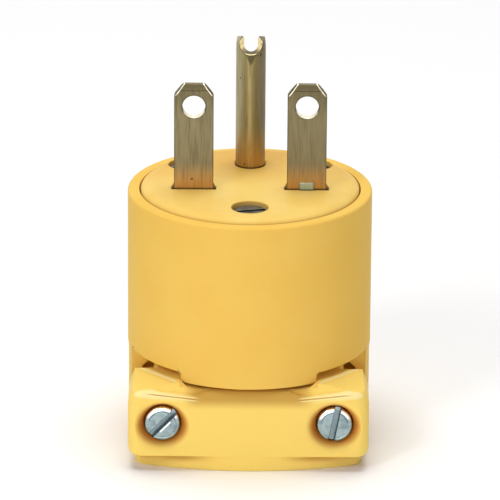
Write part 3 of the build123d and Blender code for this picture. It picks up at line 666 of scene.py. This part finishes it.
def jawColumn(x, wall):
    # points (y, z) of the jaw's section at x, from the back of its foot round to the back again
    a = abs(x)
    over = max(a - (jaw["halfWidth"] - jaw["corner"]), 0)
    frontY = jaw["frontY"] + jaw["corner"] - (jaw["corner"] ** 2 - over ** 2) ** 0.5
    lipX = a * jaw["lipHalf"] / jaw["halfWidth"]
    lipY = jaw["frontY"] + jaw["lipRadius"] - (jaw["lipRadius"] ** 2 - lipX ** 2) ** 0.5
    lipOver = max(lipX - (jaw["lipHalf"] - jaw["lipRound"]), 0)
    lipY += jaw["lipRound"] - (jaw["lipRound"] ** 2 - lipOver ** 2) ** 0.5
    lipY = max(lipY, frontY)
    soft = 1 - smoothStep(5.5, 10.0, a)
    deep, high = 0.7 + 0.9 * soft, 0.8 + 0.9 * soft
    crease = jaw["crease"] * smoothStep(6.5, 9.0, a) * (1 - smoothStep(15.0, 17.0, a))
    top = jawTop(a, max(frontY + deep, wall)) - crease
    runs = [((jaw["backY"], 0), (lipY, 0), 14), ((lipY, 0), (lipY, jaw["lipZ"] - 0.02), 12),
            ((lipY, jaw["lipZ"]), (frontY, jaw["lipZ"]), 6),
            ((frontY, jaw["lipZ"]), (frontY, top - high), 46)]
    line = []
    for (y0, z0), (y1, z1), count in runs:
        line += [(y0 + (y1 - y0) * i / count, z0 + (z1 - z0) * i / count) for i in range(count)]
    for i in range(9):
        t = i / 8 * pi / 2
        line.append((frontY + deep * (1 - cos(t)), top - high + high * sin(t)))
    line.append((frontY + deep + 0.06, top - crease * 0.4))
    line.append((frontY + deep + 0.14, jawTop(a, max(frontY + deep + 0.14, wall)) + crease * 0.3))
    start = frontY + deep + 0.26
    for i in range(61):
        y = start + (jaw["backY"] - start) * (i / 60) ** 1.1
        line.append((y, jawTop(a, max(y, wall))))
    back = jawTop(a, jaw["backY"])
    line += [(jaw["backY"], back * (1 - i / 18)) for i in range(1, 18)]
    return [(max(y, wall), z) for y, z in line]


def makeJaw():
    flat = jaw["halfWidth"] - jaw["corner"]
    count = int(2 * flat / jaw["spacing"])
    columns = [(-flat + 2 * flat * i / count, -99) for i in range(count + 1)]
    bend = [(flat + jaw["corner"] * sin(t * pi / 24), -99) for t in range(1, 13)]
    cornerY = jaw["frontY"] + jaw["corner"]
    sideLength = jaw["backY"] - 0.35 - cornerY
    side = [(jaw["halfWidth"], cornerY + sideLength * i / 40) for i in range(1, 41)]
    columns = [(-x, wall) for x, wall in reversed(bend + side)] + columns + bend + side
    sections = [jawColumn(x, wall) for x, wall in columns]
    rows = len(sections[0])
    bm = bmesh.new()
    bmesh.ops.create_grid(bm, x_segments=len(columns) - 1, y_segments=rows, size=1)
    order = sorted(bm.verts, key=lambda v: (round(v.co.y, 5), round(v.co.x, 5)))
    for index, vert in enumerate(order):
        row, column = divmod(index, len(columns))
        x = columns[column][0]
        y, z = sections[column][row % rows]
        vert.co = (x * jawWidth(z) / jaw["halfWidth"], y, z)
    bmesh.ops.remove_doubles(bm, verts=bm.verts, dist=0.004)
    bmesh.ops.dissolve_degenerate(bm, edges=bm.edges, dist=0.002)
    bmesh.ops.holes_fill(bm, edges=[edge for edge in bm.edges if edge.is_boundary])
    bmesh.ops.recalc_face_normals(bm, faces=bm.faces)
    bmesh.ops.smooth_vert(bm, verts=bm.verts, factor=0.5, use_axis_x=True, use_axis_y=True, use_axis_z=True)
    piece = makePiece("clamp_front_jaw", bm, 50)
    saddle = boxMesh((-jaw["saddleHalf"], jaw["backY"] - 0.5, 0),
                     (jaw["saddleHalf"], jaw["backY"] + jaw["saddleReach"], jaw["recessZ"]))
    carve(piece, [saddle], "UNION")
    cord = [(0, -1), (7.8, -1), (7.7, 0), (6.5, 1.2), (6.5, 4.05), (7.1, 4.05), (7.1, 6.45), (6.5, 6.45),
            (6.5, 9.05), (7.1, 9.05), (7.1, 11.45), (6.5, 11.45), (6.5, 20), (0, 20)]
    cutters = [latheMesh(cord, 128)]
    for side in (-1, 1):
        funnel = roundedLine([(0, -20, 0), (jaw["holeRadius"], -20, 0), (jaw["holeRadius"], -jaw["seat"], 0),
                              (jaw["boreRadius"], -jaw["seat"], 0.1),
                              (jaw["boreRadius"], -jaw["funnelDepth"], 0.3), (jaw["funnelRadius"], 0, 0.9),
                              (jaw["funnelRadius"] + 3, 0.12, 0), (jaw["funnelRadius"] + 3, 3, 0),
                              (0, 3, 0)], 8)
        cutters.append(latheMesh(funnel, 128, frontAxis(side * jaw["screwX"], jaw["frontY"], jaw["screwZ"])))
    carve(piece, cutters)
    piece.data.shade_smooth()
    piece.data.set_sharp_from_angle(angle=radians(40))
    standFor(piece, "clamp_jaw")
    return piece


# contact carrier: face disc and the block behind it
carrier = {"flangeRadius": 17.76, "blockRadius": 17.05, "flange": 3.2, "edgeWidth": 2.2, "edgeHeight": 1.1,
           "recessRadius": 2.975, "recessDepth": 2.5, "holeRadius": 1.9, "mouthRound": 0.22,
           "screwSpots": ((0, -11.8), (-10.445, 9.095), (10.445, 9.095)), "slotX": 9.13, "slotY": -2.65,
           "slotHalf": (3.605, 0.83), "pinY": 9.24, "pinHalf": 2.495, "pinBack": 11.005,
           "pocket": (7.5, 8.8), "pocketBack": -1.65, "pinPocket": (-0.225, 11.175), "edge": 0.1,
           "steps": 256}


def makeCarrier():
    c = carrier
    ledge = faceZ - c["flange"]
    arc = [(c["flangeRadius"] - c["edgeWidth"] * (1 - cos(i * pi / 20)),
            faceZ - c["edgeHeight"] * (1 - sin(i * pi / 20))) for i in range(11)]
    outline = [(0, carrierLowZ), (c["blockRadius"], carrierLowZ), (c["blockRadius"], ledge),
               (c["flangeRadius"], ledge)] + arc + [(0, faceZ)]
    piece = makePiece("contact_face", latheMesh(outline, c["steps"]))
    cutters = []
    for x, y in c["screwSpots"]:
        depth = faceZ - carrierLowZ
        recess = roundedLine([(0, -depth - 1, 0), (c["holeRadius"], -depth - 1, 0),
                              (c["holeRadius"], -c["recessDepth"], 0),
                              (c["recessRadius"], -c["recessDepth"], 0.15),
                              (c["recessRadius"], 0, c["mouthRound"]), (c["recessRadius"] + 0.6, 0.03, 0),
                              (c["recessRadius"] + 0.6, 2, 0), (0, 2, 0)], 5)
        cutters.append(latheMesh(recess, 72, Matrix.Translation((x, y, faceZ))))
    halfX, halfY = c["slotHalf"]
    wide, long = c["pocket"]
    tabTop = tabLowZ + 1.5
    for side in (-1, 1):
        cutters.append(boxMesh((side * c["slotX"] - halfX, c["slotY"] - halfY, tabTop - 1),
                               (side * c["slotX"] + halfX, c["slotY"] + halfY, faceZ + 1)))
        cutters.append(boxMesh((side * c["slotX"] - wide / 2, c["pocketBack"] - long, carrierLowZ - 1),
                               (side * c["slotX"] + wide / 2, c["pocketBack"], tabTop)))
    pin = c["pinHalf"]
    cutters.append(prismMesh([(-pin, c["pinBack"], 0), (-pin, c["pinY"] - pin, pin * 0.999),
                              (pin, c["pinY"] - pin, pin * 0.999), (pin, c["pinBack"], 0)],
                             Matrix.Translation((0, 0, tabTop - 1)), faceZ + 2 - tabTop))
    front, back = c["pinPocket"]
    cutters.append(boxMesh((-wide / 2, front, carrierLowZ - 1), (wide / 2, back, tabTop)))
    carve(piece, cutters)
    soften(piece, c["edge"], 2)
    standFor(piece, "contact_carrier")
    return piece


# blades: stamped strip with a coined tip
blade = {"x": 9.13, "y": -2.65, "half": 3.175, "thick": 1.5, "tipWidth": 1.45, "tipHeight": 1.95,
         "coin": 0.4, "coinHeight": 0.9, "holeRadius": 1.875, "holeDown": 3.8, "flare": 0.35,
         "foot": 0.7, "tabHalf": 3.5, "tabLength": 6.8, "tabHole": 1.75, "reach": 3.7, "edge": 0.09}


def makeBlade(side, node):
    b = blade
    half, flare = b["half"], b["flare"]
    backY = b["y"] + b["thick"] / 2
    right = [(half, tabLowZ, 0), (half, faceZ - 0.7, 0), (half + flare, faceZ - 0.7, 0),
             (half + flare, faceZ + 0.05, 0), (half, faceZ + b["foot"], 0),
             (half, bladeTipZ - b["tipHeight"], 0.25), (half - b["tipWidth"], bladeTipZ, 0.3)]
    left = [(-x, z, size) for x, z, size in reversed(right)]
    bm = prismMesh(right + left, frontPlane(backY), b["thick"])
    coinZ = bladeTipZ - b["coinHeight"]
    bmesh.ops.bisect_plane(bm, geom=bm.verts[:] + bm.edges[:] + bm.faces[:], plane_co=(0, 0, coinZ),
                           plane_no=(0, 0, 1))
    for vert in bm.verts:
        if vert.co.z > coinZ:
            t = (vert.co.z - coinZ) / b["coinHeight"]
            vert.co.y -= (1 if vert.co.y > b["y"] else -1) * b["coin"] * t
    bmesh.ops.translate(bm, verts=bm.verts, vec=(side * b["x"], 0, 0))
    piece = makePiece("brass_" + node, bm)
    frontY = b["y"] - b["thick"] / 2
    tab = boxMesh((side * b["x"] - b["tabHalf"], frontY - b["tabLength"], tabLowZ),
                  (side * b["x"] + b["tabHalf"], frontY + 0.01, tabLowZ + b["thick"]))
    added = [tab]
    if side > 0:
        added.append(boxMesh((side * b["x"] - 1.15, frontY - 0.4, faceZ + 0.02),
                             (side * b["x"] + 1.15, frontY + 0.01, faceZ + 1.25)))
    carve(piece, added, "UNION")
    hole = latheMesh([(0, -3), (b["holeRadius"], -3), (b["holeRadius"], 3), (0, 3)], 64,
                     frontAxis(side * b["x"], b["y"], bladeTipZ - b["holeDown"]))
    tabHole = latheMesh([(0, -1), (b["tabHole"], -1), (b["tabHole"], 3), (0, 3)], 40,
                        Matrix.Translation((side * b["x"], frontY - b["reach"], tabLowZ)))
    carve(piece, [hole, tabHole])
    soften(piece, b["edge"], 2, 30)
    standFor(piece, node)
    return piece


# ground pin: sheet folded to a U, with a scooped tip
pin = {"y": 9.24, "half": 2.415, "sheet": 1.3, "depth": 1.685, "taper": 0.18, "taperHeight": 1.6,
       "notchHalf": 2.03, "notchBackHalf": 1.15, "notchLength": 4.1, "notchDepth": 2.0, "tipRound": 0.35,
       "edge": 0.08, "dimple": 0.13, "dimpleHeight": 1.8, "tabHalf": 3.5, "tabEnd": 0.025, "tabThick": 1.5,
       "tabHole": (1.75, 3.125)}


def makePin():
    p = pin
    half, inner = p["half"], p["half"] - p["sheet"]
    backY = p["y"] + p["depth"]
    section = [(-half, backY, 0), (-half, p["y"] - half, half * 0.999), (half, p["y"] - half, half * 0.999),
               (half, backY, 0), (inner, backY, 0), (inner, p["y"] - inner, inner * 0.999),
               (-inner, p["y"] - inner, inner * 0.999), (-inner, backY, 0)]
    bm = bmesh.new()
    outlineFace(bm, section, Matrix.Translation((0, 0, tabLowZ)))
    bmesh.ops.remove_doubles(bm, verts=bm.verts, dist=0.005)
    pushed = bmesh.ops.extrude_face_region(bm, geom=bm.faces[:])
    far = [item for item in pushed["geom"] if isinstance(item, bmesh.types.BMVert)]
    bmesh.ops.translate(bm, verts=far, vec=(0, 0, pinTipZ - tabLowZ))
    bmesh.ops.recalc_face_normals(bm, faces=bm.faces)
    for i in range(8):
        height = pinTipZ - p["taperHeight"] * (i + 1) / 8
        bmesh.ops.bisect_plane(bm, geom=bm.verts[:] + bm.edges[:] + bm.faces[:],
                               plane_co=(0, 0, height), plane_no=(0, 0, 1))
    for vert in bm.verts:
        t = max(vert.co.z - (pinTipZ - p["taperHeight"]), 0) / p["taperHeight"]
        if t > 0 and abs(vert.co.x) > inner + 0.1:
            vert.co.x -= (1 if vert.co.x > 0 else -1) * p["taper"] * t ** 1.6
    piece = makePiece("brass_ground_pin", bm)
    centreZ = pinTipZ - p["notchDepth"] + p["notchHalf"]
    r = p["notchHalf"]
    notch = prismMesh([(-r, centreZ + 3, 0), (-r, centreZ - r, r * 0.999), (r, centreZ - r, r * 0.999),
                       (r, centreZ + 3, 0)], frontPlane(p["y"] + 3), 7)
    for vert in notch.verts:
        deep = (vert.co.y - (p["y"] - half)) / p["notchLength"]
        shrink = 1 + (p["notchBackHalf"] / r - 1) * deep
        vert.co.x *= shrink
        vert.co.z = centreZ + (vert.co.z - centreZ) * (shrink if vert.co.z < centreZ else 1)
    low = pinTipZ - p["notchDepth"] - p["dimpleHeight"]
    frontY = p["y"] - half
    dimple = boxMesh((-3, -3, 0), (3, 0, 4))
    lean = Matrix.Rotation(-radians(57.3 * p["dimple"] / p["dimpleHeight"]), 4, "X")
    bmesh.ops.transform(dimple, matrix=Matrix.Translation((0, frontY, low)) @ lean, verts=dimple.verts)
    carve(piece, [notch, dimple])
    tab = boxMesh((-p["tabHalf"], p["tabEnd"], tabLowZ),
                  (p["tabHalf"], p["y"] - half + 0.5, tabLowZ + p["tabThick"]))
    carve(piece, [tab], "UNION")
    radius, place = p["tabHole"]
    hole = latheMesh([(0, -1), (radius, -1), (radius, 3), (0, 3)], 40,
                     Matrix.Translation((0, place, tabLowZ)))
    carve(piece, [hole])
    bm = bmesh.new()
    bm.from_mesh(piece.data)
    tops = [edge for edge in bm.edges if all(vert.co.z > (pinTipZ - 0.05) * mm for vert in edge.verts)
            and len(edge.link_faces) == 2 and edge.calc_face_angle(0) > 0.6]
    bmesh.ops.bevel(bm, geom=tops, offset=p["tipRound"] * mm, affect="EDGES", segments=4, profile=0.5,
                    material=-1, clamp_overlap=True)
    bm.to_mesh(piece.data)
    bm.free()
    soften(piece, p["edge"], 2, 34, 0.01)
    standFor(piece, "ground_pin")
    return piece


# slotted screws: heads turned with a rounded rim, the slot sawn after
clampHead = {"radius": 2.875, "height": 2.2, "rimRound": 0.42, "crown": 0.1, "shank": 1.7, "length": 20.6,
             "slotWidth": 0.95, "slotDepth": 1.1, "ring": 0.07, "edge": 0.05, "frontY": -18.9}
faceHead = {"radius": 2.7, "height": 1.9, "rimRound": 0.36, "crown": 0.0, "shank": 1.7, "slotWidth": 0.9,
            "slotDepth": 0.9, "ring": 0.03, "sink": 0.6, "slotAngle": 14.0, "edge": 0.04}


def headMesh(h, length, turn):
    # the head's top is at height 0 of the lathe, its shank runs down
    ring = h["radius"] * 0.78
    outline = roundedLine([(0, 0, 0), (ring, -h["crown"] * 0.4, 0),
                           (ring + 0.06, -h["crown"] * 0.4 - h["ring"], 0),
                           (ring + 0.2, -h["crown"] * 0.5 - h["ring"] * 0.3, 0),
                           (h["radius"], -h["crown"], h["rimRound"]), (h["radius"], -h["height"], 0.1),
                           (h["shank"], -h["height"], 0), (h["shank"], -h["height"] - length, 0.3),
                           (0, -h["height"] - length, 0)], 7)
    return latheMesh(outline, 96, turn)


def sawnSlot(h, angle, turn):
    # the saw's path across the head
    bm = boxMesh((-h["radius"] - 1, -h["slotWidth"] / 2, -h["slotDepth"]),
                 (h["radius"] + 1, h["slotWidth"] / 2, 1))
    bmesh.ops.transform(bm, matrix=turn @ Matrix.Rotation(radians(angle), 4, "Z"), verts=bm.verts)
    return bm


def makeScrews():
    for side, node, angle in zip((-1, 1), ("clamp_screw_left", "clamp_screw_right"), slots["angles"]):
        turn = frontAxis(side * jaw["screwX"], clampHead["frontY"], jaw["screwZ"])
        piece = makePiece("zinc_" + node, headMesh(clampHead, clampHead["length"], turn))
        carve(piece, [sawnSlot(clampHead, angle, turn)])
        soften(piece, clampHead["edge"], 2, 40, 0.01)
        standFor(piece, node)
    nodes = ("face_screw_front", "face_screw_left", "face_screw_right")
    for (x, y), node in zip(carrier["screwSpots"], nodes):
        length = faceZ - faceHead["sink"] - faceHead["height"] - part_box(node)[0][2] / mm
        turn = Matrix.Translation((x, y, faceZ - faceHead["sink"]))
        piece = makePiece("steel_" + node, headMesh(faceHead, length, turn))
        carve(piece, [sawnSlot(faceHead, faceHead["slotAngle"], turn)])
        soften(piece, faceHead["edge"], 2, 40, 0.01)
        standFor(piece, node)


makeShell()
makeJaw()
makeCarrier()
makeBlade(-1, "blade_left")
makeBlade(1, "blade_right")
makePin()
makeScrews()
print("pieces made")

# studio: pale floor that carries on into a white sky, a key lamp, a low fill and a broad top lamp
studio = {"floorSize": 6.0, "floorColour": "#FBFBFB", "skyStrength": 0.30, "aimZ": 30 * mm,
          "lamps": [
              # name, place in metres, size, power
              ("key", (-0.58, -0.72, 0.75), 0.3, 2.7),
              ("low", (-0.02, -0.15, 0.03), 0.06, 0.035),
              ("top", (0.0, 0.1, 1.0), 0.7, 7.2),
          ]}


def makeStudio():
    mesh = bpy.data.meshes.new("floor")
    bm = bmesh.new()
    bmesh.ops.create_grid(bm, x_segments=1, y_segments=1, size=studio["floorSize"] / 2)
    bm.to_mesh(mesh)
    bm.free()
    floor = bpy.data.objects.new("floor", mesh)
    bpy.context.scene.collection.objects.link(floor)
    material, tree, shader = newMaterial("paperFloor")
    shader.inputs["Base Color"].default_value = toLinear(studio["floorColour"])
    shader.inputs["Roughness"].default_value = 0.9
    mesh.materials.append(material)
    world = bpy.data.worlds.new("studioSky")
    bpy.context.scene.world = world
    world.use_nodes = True
    tree = world.node_tree
    tree.nodes.clear()
    path = addNode(tree, "ShaderNodeLightPath")
    seen = addNode(tree, "ShaderNodeMath", {"operation": "MAXIMUM"},
                   links={0: path.outputs["Is Camera Ray"], 1: path.outputs["Is Glossy Ray"]})
    seenToo = addNode(tree, "ShaderNodeMath", {"operation": "MAXIMUM"},
                      links={0: seen.outputs[0], 1: path.outputs["Is Transmission Ray"]})
    strength = addNode(tree, "ShaderNodeMapRange", inputs={"To Min": studio["skyStrength"], "To Max": 1.0},
                       links={"Value": seenToo.outputs[0]})
    sky = addNode(tree, "ShaderNodeBackground", inputs={"Color": (1, 1, 1, 1)},
                  links={"Strength": strength.outputs["Result"]})
    output = addNode(tree, "ShaderNodeOutputWorld")
    tree.links.new(sky.outputs["Background"], output.inputs["Surface"])
    for name, place, size, power in studio["lamps"]:
        data = bpy.data.lights.new(name, "AREA")
        data.shape = "DISK"
        data.size = size
        data.energy = power
        lamp = bpy.data.objects.new(name, data)
        bpy.context.scene.collection.objects.link(lamp)
        lamp.location = place
        aim = Vector((0, 0, studio["aimZ"])) - Vector(place)
        lamp.rotation_euler = aim.to_track_quat("-Z", "Y").to_euler()


makeCamera()
makeStudio()
bpy.context.scene.view_settings.view_transform = "Standard"
